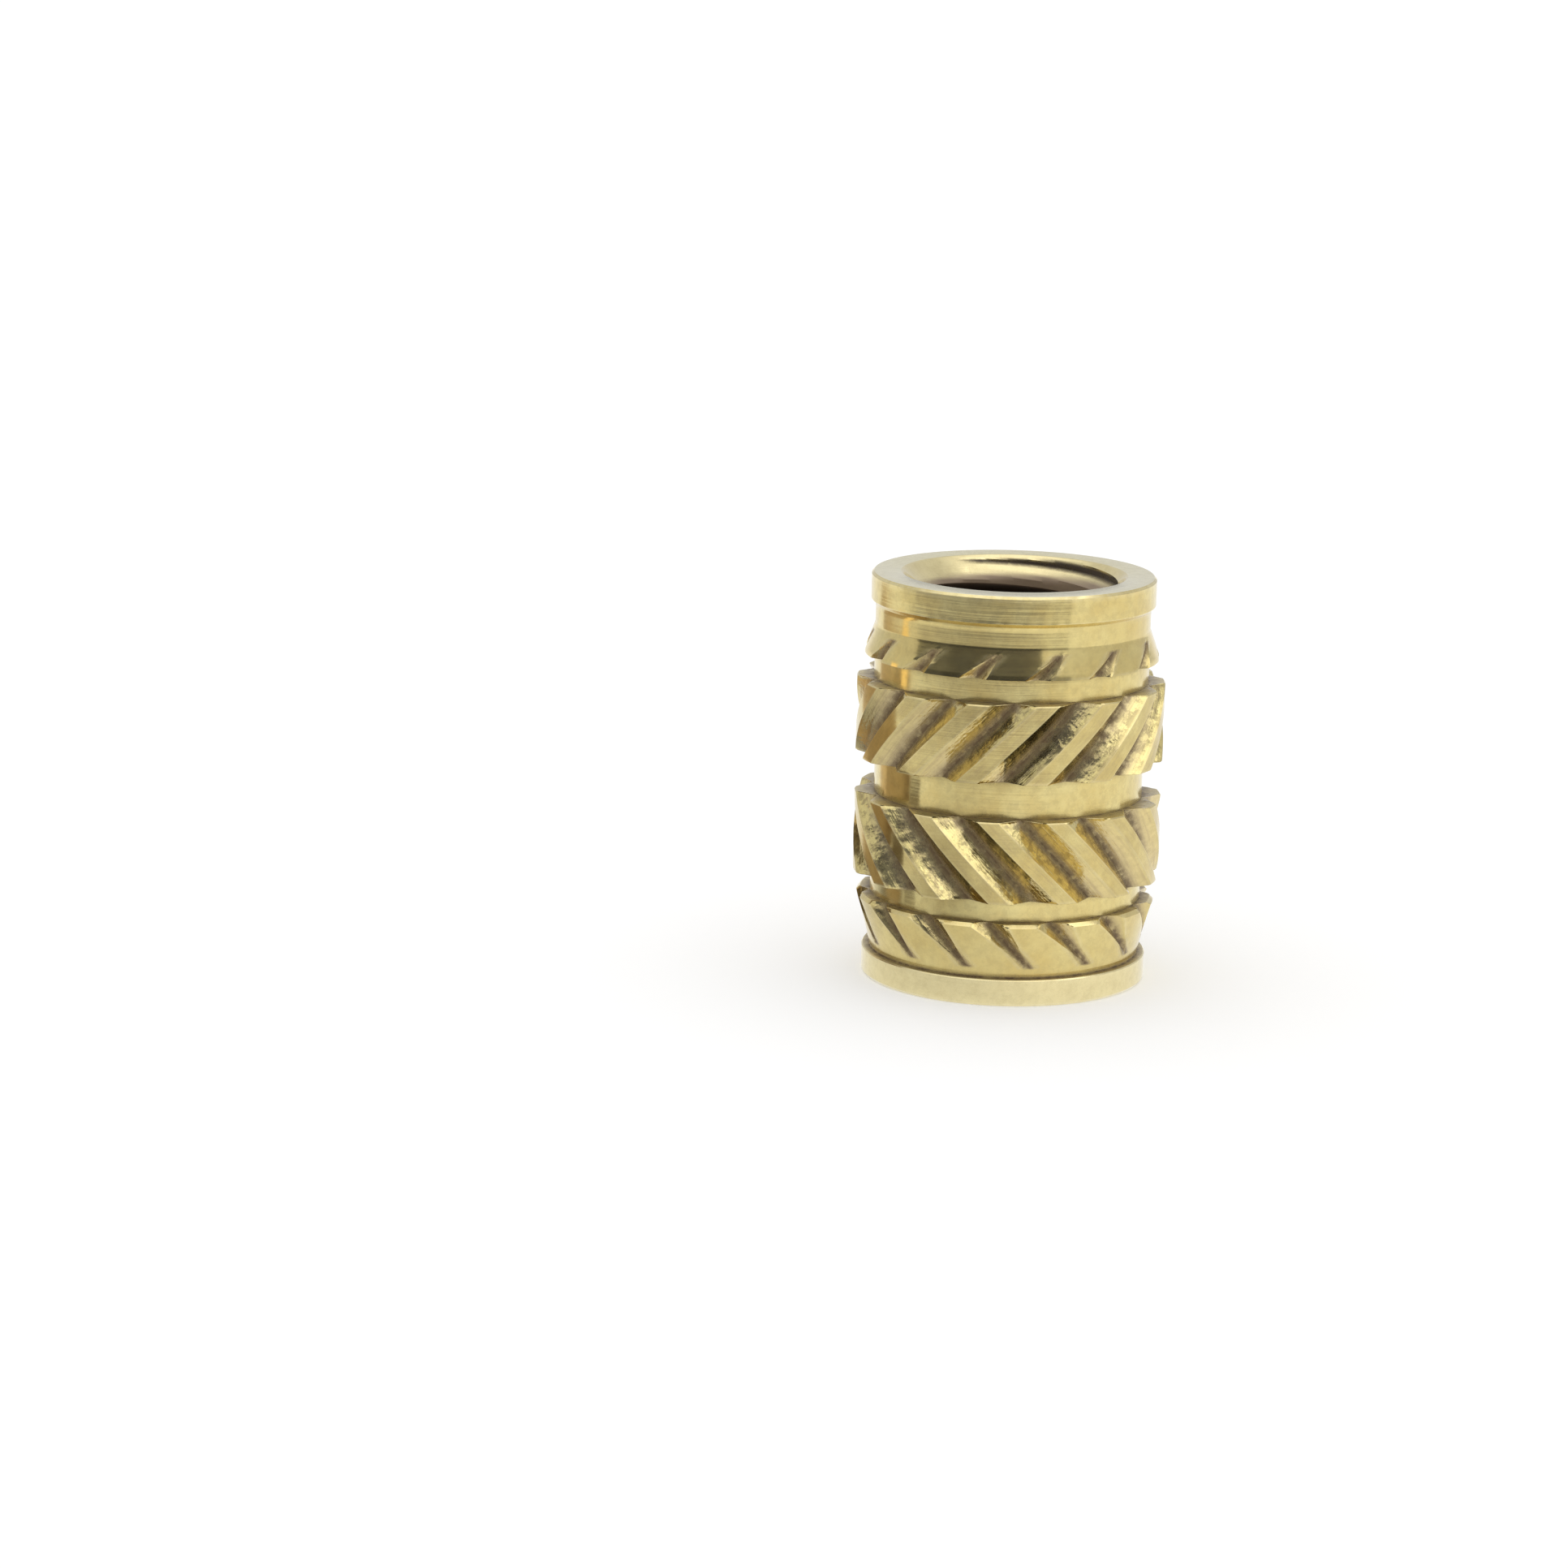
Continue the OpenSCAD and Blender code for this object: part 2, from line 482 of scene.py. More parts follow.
@dataclass
class Skin:
    """Points, faces and masks of a mesh while it is put together."""

    points: list[np.ndarray] = field(default_factory=list)
    faces: list[tuple[int, ...]] = field(default_factory=list)
    masks: dict[Mask, list[np.ndarray]] = field(default_factory=lambda: {m: [] for m in Mask})
    count: int = 0

    def add(self, points: np.ndarray, masks: dict[Mask, np.ndarray]) -> np.ndarray:
        """Adds a grid of points.

        Args:
            points: Points as rows by columns by three.
            masks: Mask values for the rows and columns.

        Returns:
            The grid of the new points' numbers.
        """
        rows, columns = points.shape[:2]
        self.points.append(points.reshape(-1, 3))
        for mask in Mask:
            values = np.broadcast_to(np.asarray(masks.get(mask, 0.0), float), (rows, columns))
            self.masks[mask].append(values.reshape(-1))
        numbers = np.arange(self.count, self.count + rows * columns).reshape(rows, columns)
        self.count += rows * columns
        return numbers

    def strips(self, grid: np.ndarray, inward: bool = False) -> None:
        """Adds the faces of a grid that closes round the axis.

        Args:
            grid: Numbers of the points, with one column more where the last joins the first.
            inward: Whether the faces look to the axis.
        """
        a, b = grid[:-1, :-1].ravel(), grid[:-1, 1:].ravel()
        c, d = grid[1:, 1:].ravel(), grid[1:, :-1].ravel()
        order = (a, d, c, b) if inward else (a, b, c, d)
        self.faces += list(zip(*[o.tolist() for o in order]))


@dataclass(frozen=True)
class Wear:
    """Small shape faults of the knurled surface.

    A noise is given by the roughness, the step and the number of its layers.
    """

    lump: float = 0.011
    lump_size: float = 0.22
    lump_noise: tuple[float, float, int] = (1.0, 2.1, 3)
    grain: float = 0.0045
    grain_size: float = 0.075
    grain_noise: tuple[float, float, int] = (0.9, 2.0, 2)
    drag: float = 0.005
    drag_width: float = 0.05
    drag_length: float = 0.9
    base: float = 0.52
    side: float = 0.48
    lip: float = 0.003
    lip_size: float = 0.16
    lip_base: float = 0.2
    hand_shift: float = 7.0
    least: float = 0.01

    def push(self, co: np.ndarray, masks: dict[Mask, np.ndarray], blank: Blank) -> np.ndarray:
        """Distance by which each point moves along its normal.

        Args:
            co: Points of the mesh in millimetres.
            masks: Masks of the points.
            blank: The turned blank.

        Returns:
            The distances in millimetres.
        """
        push = np.zeros(len(co))
        cuts, edges, sides = (masks[mask].tolist() for mask in (Mask.CUT, Mask.EDGE, Mask.TORN))
        for n in np.nonzero((masks[Mask.CUT] > self.least) | (masks[Mask.EDGE] > self.least))[0]:
            place = Vector(co[n])
            if cuts[n] < self.least:
                push[n] = edges[n] * self.lip * (self.lip_base + noise.noise(place / self.lip_size))
                continue
            rough = self.base + self.side * sides[n]
            lump = noise.fractal(place / self.lump_size, *self.lump_noise)
            grain = noise.fractal(place / self.grain_size, *self.grain_noise)
            drag = noise.noise(self._along_valley(co[n], blank))
            push[n] = cuts[n] * (rough * (self.lump * lump + self.grain * grain) + self.drag * drag)
        return push

    def _along_valley(self, point: np.ndarray, blank: Blank) -> Vector:
        """Place of a point across and along its valley, in widths and lengths of the streaks.

        Args:
            point: The point.
            blank: The turned blank.

        Returns:
            The place, which differs for the two hands.
        """
        x, y, z = point
        helix = math.radians(blank.lower_valleys.helix)
        hand = (Hand.LEFT if z < blank.hand_level else Hand.RIGHT).value
        arc = math.atan2(y, x) * blank.lower_valleys.outer_radius
        across = arc * math.cos(helix) - hand * z * math.sin(helix)
        along = arc * math.sin(helix) * hand + z * math.cos(helix)
        return Vector((across / self.drag_width, along / self.drag_length, hand * self.hand_shift))


def read_values(source: bpy.types.bpy_prop_collection, name: str, width: int) -> np.ndarray:
    """Reads one property of many members.

    Args:
        source: The members.
        name: Name of the property.
        width: Number of values in one member.

    Returns:
        The values, with one row a member.
    """
    values = np.zeros(len(source) * width)
    source.foreach_get(name, values)
    return values.reshape(-1, width)


@dataclass
class Insert:
    """The insert as one closed piece: knurled skin, end faces and threaded bore."""

    blank: Blank = field(default_factory=Blank)
    bore: Bore = field(default_factory=Bore)
    wear: Wear = field(default_factory=Wear)
    skin: Skin = field(default_factory=Skin)
    name: str = "knurled_insert"
    merge_distance: float = 0.0004
    crease: float = 32.0
    cut_fade: float = 0.06
    root_reach: float = 0.085
    lip_from: float = 0.95
    lip_wear_and_glint: float = 0.8

    def build(self) -> bpy.types.Object:
        """Builds the mesh and its object.

        Returns:
            The insert's object, in metres in the frame's axes.
        """
        bottom, top, lower_shift, upper_shift = self._outer()
        low_mouth, high_mouth = self._bore()
        self._end_face(bottom, low_mouth, 0.0, lower_shift, upward=False)
        self._end_face(top, high_mouth, self.blank.height, upper_shift, upward=True)
        mesh = self._mesh()
        self._roughen(mesh)
        return link_object(self.name, mesh)

    def _angle(self, level: float) -> float:
        """Angle of the first column's valley, which runs on without a jump from bottom to top.

        Args:
            level: The level. Between the bands the columns pass from one hand to the other.

        Returns:
            The angle in degrees.
        """
        b, low, up = self.blank, self.blank.lower_valleys, self.blank.upper_valleys
        low_end = low.direction(b.lower_band_top)
        carry = round((low_end - up.phase) / low.pitch) * low.pitch
        if level <= b.lower_band_top:
            return low.direction(level)
        if level >= b.upper_band_foot:
            return up.direction(level) + carry
        t = (level - b.lower_band_top) / (b.upper_band_foot - b.lower_band_top)
        return low_end + (up.phase + carry - low_end) * t

    def _outer(self) -> tuple[np.ndarray, np.ndarray, int, int]:
        """Adds the outer skin.

        Returns:
            Point numbers of the bottom and the top ring, and their shifts from the even grid.
        """
        rings = self.blank.rings()
        v = rings[0].valleys
        flank, land, count = v.flank_columns, v.land_columns, v.teeth * v.tooth_columns
        width = v.pitch / v.tooth_columns
        steps = np.arange(-flank, flank + 1) / flank
        on_land = np.full(land - 1, ON_LAND)
        place = np.tile(np.concatenate([steps, on_land]), v.teeth)
        tooth = np.repeat(np.arange(v.teeth), v.tooth_columns)
        points = np.zeros((len(rings), count, 3))
        masks = {m: np.zeros((len(rings), count)) for m in Mask}
        shifts = []
        for i, ring in enumerate(rings):
            radius, angle = ring.valleys.point(steps, ring.valleys.opening(ring.spread))
            between = np.linspace(angle[-1], v.pitch + angle[0], land + 1)[1:-1]
            local = np.tile(np.concatenate([angle, between]), v.teeth)
            floor = np.tile(np.concatenate([radius, on_land]), v.teeth)
            r = np.minimum(ring.radius, floor) if ring.cut else np.full(count, ring.radius)
            start = self._angle(ring.level)
            theta = start + tooth * v.pitch + local
            shifts.append(round((start - flank * width) / width))
            even = (np.arange(count) + shifts[-1]) * width
            turn = np.radians(theta + (even - theta) * ring.even)
            points[i] = np.stack([r * np.cos(turn), r * np.sin(turn), np.full(count, ring.height)], axis=-1)
            for mask, values in self._ring_masks(ring, place).items():
                masks[mask][i] = values
        grid = self.skin.add(points, masks)
        self.skin.strips(np.hstack([grid, grid[:, :1]]))
        return grid[0], grid[-1], shifts[0], shifts[-1]

    def _ring_masks(self, ring: Ring, steps: np.ndarray) -> dict[Mask, np.ndarray | float]:
        """Masks of one ring.

        Args:
            ring: The ring.
            steps: Place of each column across its valley, or ON_LAND between two valleys.

        Returns:
            The values by mask.
        """
        v = ring.valleys
        masks = {Mask.RECESS: ring.recess, Mask.EDGE: ring.edge}
        if not ring.cut or ring.radius <= v.floor_radius:
            return masks
        across = np.abs(steps)
        inside = across <= 1.0
        depth = (1 - np.where(inside, across, 1.0)) * v.opening(ring.spread)
        cut = np.where(inside, np.clip(depth / self.cut_fade, 0, 1), 0)
        # the edge mask places both the burr and the edges' wear with painted highlights
        lip = np.where(across == 1.0, self.lip_wear_and_glint, 0)
        masks[Mask.CUT] = cut
        # the root mask places painted shade along the valley floors
        masks[Mask.ROOT] = np.exp(-((across * v.opening(ring.spread) / self.root_reach) ** 2))
        masks[Mask.TORN] = np.sign(steps) * v.hand.value * cut
        masks[Mask.EDGE] = np.maximum(ring.edge * (~inside | (across > self.lip_from)), lip)
        return masks

    def _bore(self) -> tuple[np.ndarray, np.ndarray]:
        """Adds the threaded bore with its countersinks.

        Returns:
            Point numbers of the lower and the upper mouth ring.
        """
        b, height = self.bore, self.blank.height
        steps = b.steps()
        per_pitch = len(steps)
        turns = math.ceil(height / b.pitch) + 2
        theta = np.arange(b.columns + 1) * FULL_TURN / b.columns
        base = b.start_level + b.pitch * (theta - b.start_angle) / FULL_TURN
        first = base.min() - b.pitch * turns
        offsets = (steps[None, :] + b.pitch * np.arange(turns + 2)[:, None]).ravel()
        helical = first - base.min() + offsets[:, None] + base[None, :]
        z = np.clip(helical, b.mouth_break, height - b.mouth_break)
        offset = np.tile(steps, turns + 2)[:, None]
        depth = np.minimum(z, height - z)
        cone = b.cone_radius(depth)
        r = np.maximum(b.groove_radius(np.where(helical == z, offset, ON_LAND)), cone)
        turn = np.radians(theta)[None, :]
        points = np.stack([r * np.cos(turn), r * np.sin(turn), z], axis=-1)
        # painted shade: darker deeper in the bore, and dark in the thread's groove where it cuts the
        # countersinks
        shaded = (offset > b.slit_from * b.root_flat) & (offset < b.slit_to * b.root_flat + b.flank_width)
        masks = {
            Mask.BORE: np.clip((depth - b.brown_from) / b.brown_fade, 0, 1)[:, :-1],
            Mask.ROOT: np.where(shaded, np.clip((r - cone) / b.slit_fade, 0, 1), 0)[:, :-1],
        }
        grid = self.skin.add(points[:, :-1], masks)
        rows = grid.shape[0] - per_pitch
        seam = np.concatenate([grid[per_pitch:, 0], np.full(per_pitch, grid[-1, 0])])
        self.skin.strips(np.hstack([grid, seam[:, None]])[:rows], inward=True)
        return grid[0], grid[rows - 1]

    def _end_face(self, outer: np.ndarray, mouth: np.ndarray, z: float, shift: int, upward: bool) -> None:
        """Adds an end face between the skin and the bore's mouth.

        Args:
            outer: Point numbers of the skin's last ring.
            mouth: Point numbers of the bore's last ring.
            z: Height of the face.
            shift: Shift of the skin's columns from the even grid.
            upward: Whether the face looks up.
        """
        b = self.bore
        theta = np.radians(np.arange(b.columns) * FULL_TURN / b.columns)
        drop = b.break_step * b.mouth_break
        rows = ((b.mouth_r + drop, z - drop if upward else z + drop), (b.mouth_r + b.mouth_break, z))
        points = np.array([[r * np.cos(theta), r * np.sin(theta), np.full(b.columns, h)] for r, h in rows])
        grid = self.skin.add(points.transpose(0, 2, 1), {Mask.EDGE: np.array([[1.0], [0.6]])})
        rings = np.vstack([mouth, grid])
        self.skin.strips(np.hstack([rings, rings[:, :1]]), inward=upward)
        turned = np.roll(outer, shift)
        inner = grid[-1]
        for i in range(b.columns):
            k = (i + 1) % b.columns
            o = [turned[2 * i], turned[2 * i + 1], turned[(2 * i + 2) % len(turned)]]
            pair = [(inner[i], o[0], o[1]), (inner[i], o[1], o[2], inner[k])]
            self.skin.faces += [tuple(int(n) for n in (p if upward else p[::-1])) for p in pair]

    def _mesh(self) -> bpy.types.Mesh:
        """Turns the gathered points and faces into a mesh in metres.

        Returns:
            The mesh, with doubled points joined and its masks as attributes.
        """
        points = np.vstack(self.skin.points)
        keys = np.round(points / self.merge_distance).astype(np.int64)
        _, first, number = np.unique(keys, axis=0, return_index=True, return_inverse=True)
        number = number.ravel().tolist()
        faces, seen = [], set()
        for face in self.skin.faces:
            ring = [number[n] for n in face]
            ring = [n for n, after in zip(ring, ring[1:] + ring[:1]) if n != after]
            key = frozenset(ring)
            if len(key) < 3 or len(key) < len(ring) or key in seen:
                continue
            seen.add(key)
            faces.append(ring)
        mesh = bpy.data.meshes.new(self.name)
        mesh.from_pydata((points[first] * MM).tolist(), [], faces)
        for mask in Mask:
            values = np.concatenate(self.skin.masks[mask])[first].astype(np.float32)
            mesh.attributes.new(mask.value, "FLOAT", "POINT").data.foreach_set("value", values)
        mesh.validate()
        mesh.update()
        return mesh

    def _roughen(self, mesh: bpy.types.Mesh) -> None:
        """Tears the valleys' sides, raises burrs and sets which edges of the mesh are sharp.

        Args:
            mesh: The mesh, in metres.
        """
        co = read_values(mesh.vertices, "co", 3) / MM
        normal = read_values(mesh.vertex_normals, "vector", 3)
        masks = {m: read_values(mesh.attributes[m.value].data, "value", 1)[:, 0] for m in Mask}
        co = co + normal * self.wear.push(co, masks, self.blank)[:, None]
        co[:, 2] = np.clip(co[:, 2], 0.0, self.blank.height)
        mesh.vertices.foreach_set("co", (co * MM).ravel())
        mesh.update()
        mesh.polygons.foreach_set("use_smooth", np.ones(len(mesh.polygons), bool))
        mesh.set_sharp_from_angle(angle=math.radians(self.crease))


@dataclass(frozen=True)
class Patches:
    """Cloudy mask: a noise that is spread from one range of values to another.

    The noise values from low to high are spread from least to most. The scale is per metre.
    """

    scale: float
    detail: float
    rough: float
    low: float
    high: float
    least: float = 0.0
    most: float = 1.0


class Tree:
    """Short way to place and link the nodes of one tree."""

    def __init__(self, tree: bpy.types.NodeTree) -> None:
        """Takes a tree and empties it."""
        self.tree = tree
        tree.nodes.clear()

    def add(self, kind: str, inputs: dict[int | str, object], **settings: object) -> bpy.types.Node:
        """Adds a node.

        Args:
            kind: Type of the node, without ShaderNode in front.
            inputs: Plain values or sockets for its inputs, by number or name.
            settings: Properties of the node, by name.

        Returns:
            The node.
        """
        node = self.tree.nodes.new(kind if kind.startswith("Node") else "ShaderNode" + kind)
        for name, value in settings.items():
            setattr(node, name, value)
        for key, value in inputs.items():
            if isinstance(value, Socket):
                self.tree.links.new(value, node.inputs[key])
            else:
                node.inputs[key].default_value = value
        return node

    def math(self, operation: str, a: object, b: object, clamp: bool = False) -> Socket:
        """Works out one step of arithmetic, kept from 0 to 1 if it is clamped."""
        return self.add("Math", {0: a, 1: b}, operation=operation, use_clamp=clamp).outputs[0]

    def product(self, *factors: object) -> Socket:
        """Multiplies values or sockets.

        Args:
            factors: The values and sockets, two or more.

        Returns:
            The result's socket.
        """
        result = factors[0]
        for factor in factors[1:]:
            result = self.math("MULTIPLY", result, factor)
        return result

    def above(self, value: Socket, limit: float) -> Socket:
        """Gives 1 over a limit in millimetres and 0 under it."""
        return self.math("GREATER_THAN", value, limit * MM)

    def below(self, value: Socket, limit: float) -> Socket:
        """Gives 1 under a limit in millimetres and 0 over it."""
        return self.math("LESS_THAN", value, limit * MM)

    def rest(self, value: Socket, whole: float = 1.0) -> Socket:
        """Takes a value from a whole, and gives 0 where it is larger."""
        return self.math("SUBTRACT", whole, value, clamp=True)

    def vector(self, operation: str, inputs: dict[int | str, object], output: int | str = 0) -> Socket:
        """Works out one step with vectors, from inputs by number or name."""
        return self.add("VectorMath", inputs, operation=operation).outputs[output]

    def join(self, x: Socket, y: Socket, z: Socket) -> Socket:
        """Makes a vector of its three parts."""
        return self.add("CombineXYZ", {0: x, 1: y, 2: z}).outputs[0]

    def parts(self, vector: Socket) -> bpy.types.bpy_prop_collection:
        """Parts of a vector along the three axes."""
        return self.add("SeparateXYZ", {0: vector}).outputs

    def place(self) -> Socket:
        """Place of the point, in metres in the piece's axes."""
        return self.add("TexCoord", {}).outputs["Object"]

    def radius(self, place: Socket) -> Socket:
        """Distance of a place from the insert's axis."""
        return self.vector("LENGTH", {0: self.vector("MULTIPLY", {0: place, 1: (1.0, 1.0, 0.0)})}, "Value")

    def hand(self, height: Socket, level: float) -> Socket:
        """Gives 1 over the level at which the valleys change their hand, and -1 under it."""
        return self.math("SUBTRACT", self.product(self.above(height, level), 2.0), 1.0)

    def mask(self, mask: Mask) -> Socket:
        """Reads one of the mesh's masks."""
        return self.add("Attribute", {}, attribute_name=mask.value).outputs["Fac"]

    def mix(self, share: Socket, a: object, b: object) -> Socket:
        """Lays a second colour over the first one, by its share from 0 to 1."""
        return self.add("Mix", {"Factor": share, 6: a, 7: b}, data_type="RGBA").outputs[2]

    def span(self, value: Socket, low: float, high: float, least: float = 0.0, most: float = 1.0) -> Socket:
        """Maps a value from one range to another and keeps it there."""
        return self.add("MapRange", dict(enumerate((value, low, high, least, most)))).outputs[0]

    def noise(self, place: Socket, scale: float, detail: float, rough: float) -> Socket:
        """Reads a noise at a place, with its scale and with the number and strength of its layers."""
        inputs = {"Vector": place, "Scale": scale, "Detail": detail, "Roughness": rough}
        return self.add("TexNoise", inputs).outputs["Fac"]

    def patches(self, place: Socket, look: Patches) -> Socket:
        """Reads a cloudy mask at a place."""
        value = self.noise(place, look.scale, look.detail, look.rough)
        return self.span(value, look.low, look.high, look.least, look.most)


def new_group(
    name: str, inputs: dict[str, float], outputs: tuple[str, ...]
) -> tuple[bpy.types.NodeTree, Tree, bpy.types.bpy_prop_collection]:
    """Starts a node group whose inputs and outputs are plain values.

    Args:
        name: Name of the group.
        inputs: Value that each input starts with, by name.
        outputs: Names of the outputs.

    Returns:
        The group, its tree and the sockets of its inputs.
    """
    group = bpy.data.node_groups.new(name, "ShaderNodeTree")
    for key, value in inputs.items():
        socket = group.interface.new_socket(key, in_out="INPUT", socket_type="NodeSocketFloat")
        socket.default_value = value
    for key in outputs:
        group.interface.new_socket(key, in_out="OUTPUT", socket_type="NodeSocketFloat")
    t = Tree(group)
    return group, t, t.add("NodeGroupInput", {}).outputs


def turning_marks(
    axial: float = 1.37, across: float = 350.0,
    fine: tuple[float, ...] = (1.0, 2.0, 0.6), coarse: tuple[float, ...] = (0.22, 1.0, 0.5),
) -> bpy.types.NodeTree:
    """Builds the group for the fine rings that a lathe tool leaves.

    Args:
        axial: Rings along the radius for each one along the axis.
        across: Scale of their changes round the piece, per metre.
        fine: Scale, detail and roughness of the fine rings.
        coarse: The same of the coarser ones.

    Returns:
        The node group, with a height and a mask of coarser rings.
    """
    group, t, given = new_group("turning_marks", {"Rings per mm": 14.0}, ("Height", "Bands"))
    place = t.place()
    x, y, z = t.parts(place)
    way = t.math("ADD", z, t.product(t.radius(place), axial))
    along = t.product(way, t.product(given["Rings per mm"], 1.0 / MM))
    ring = t.join(t.product(x, across), t.product(y, across), along)
    t.add("NodeGroupOutput", {"Height": t.noise(ring, *fine), "Bands": t.noise(ring, *coarse)})
    return group


def torn_metal(
    cell_scale: float = 0.9, pit_depth: float = 0.5, lumps: tuple[float, ...] = (0.55, 3.0, 0.6)
) -> bpy.types.NodeTree:
    """Builds the group for the torn surface in the valleys.

    Args:
        cell_scale: Pits for each grain.
        pit_depth: Depth of the pits for each height of the lumps.
        lumps: Scale, detail and roughness of the lumps.

    Returns:
        The node group, with a height.
    """
    group, t, given = new_group("torn_metal", {"Grains per mm": 12.0}, ("Height",))
    per_metre = t.product(given["Grains per mm"], 1.0 / MM)
    place = t.vector("SCALE", {0: t.place(), "Scale": per_metre})
    cells = t.add("TexVoronoi", {"Vector": place, "Scale": cell_scale}, feature="F1")
    pits = t.product(cells.outputs["Distance"], pit_depth)
    t.add("NodeGroupOutput", {"Height": t.math("ADD", t.noise(place, *lumps), pits)})
    return group


def drag_streaks(
    valleys: Valleys, hand_level: float, fine: tuple[float, ...] = (1.0, 3.0, 0.6)
) -> bpy.types.NodeTree:
    """Builds the group for the streaks that the knurling wheel drags along the valleys.

    Args:
        valleys: The valleys whose helix the streaks follow.
        hand_level: Height over which the helix has the other hand.
        fine: Scale, detail and roughness of the streaks.

    Returns:
        The node group, with the streaks as a value from 0 to 1.
    """
    group, t, given = new_group("drag_streaks", {"Streaks per mm": 11.0, "Stretch": 9.0}, ("Streaks",))
    place = t.place()
    height = t.parts(place)[2]
    turn_per_metre = math.radians(valleys.turn_per_mm) / MM
    turn = t.product(height, t.hand(height, hand_level), -turn_per_metre)
    unwound = t.add("VectorRotate", {"Vector": place, "Angle": turn}, rotation_type="Z_AXIS")
    per_metre = t.math("DIVIDE", given["Streaks per mm"], MM)
    x, y, z = t.parts(t.vector("SCALE", {0: unwound.outputs[0], "Scale": per_metre}))
    streak = t.join(x, y, t.math("DIVIDE", z, given["Stretch"]))
    t.add("NodeGroupOutput", {"Streaks": t.noise(streak, *fine)})
    return group


def new_material(name: str) -> tuple[bpy.types.Material, Tree]:
    """Starts a material.

    Args:
        name: Name of the material.

    Returns:
        The material and its empty tree.
    """
    made = bpy.data.materials.new(name)
    made.use_nodes = True
    return made, Tree(made.node_tree)


@dataclass(frozen=True)
class Tones:
    """Colours of the brass, from the bright metal to the painted shade in the thread."""

    bright: Colour = (0.83, 0.705, 0.317, 1.0)
    warm: Colour = (0.73, 0.57, 0.222, 1.0)
    flank: Colour = (0.84, 0.71, 0.305, 1.0)
    burnished: Colour = (0.80, 0.65, 0.30, 1.0)
    stained: Colour = (0.33, 0.265, 0.13, 1.0)
    # painted shade: the valleys' sides browner and darker toward their floors
    valley_floor_shade: Colour = (0.40, 0.322, 0.275, 1.0)
    dragged: Colour = (0.40, 0.30, 0.185, 1.0)
    dull: Colour = (0.55, 0.43, 0.175, 1.0)
    # worn metal and painted highlight: paler on edges, on the collar and in the countersinks
    wear_and_highlight: Colour = (0.90, 0.79, 0.46, 1.0)
    # painted highlight on the top face
    pale: Colour = (0.93, 0.87, 0.60, 1.0)
    fleck: Colour = (0.50, 0.40, 0.19, 1.0)
    # painted shade: dark brown laid in corners, recesses and along the valley floors
    shade_brown: Colour = (0.15, 0.095, 0.045, 1.0)
    # painted shade inside the bore
    bore_tint: Colour = (0.19, 0.12, 0.095, 1.0)
    # painted shade in the thread's groove where it cuts the countersinks
    slit_shade: Colour = (0.055, 0.042, 0.032, 1.0)


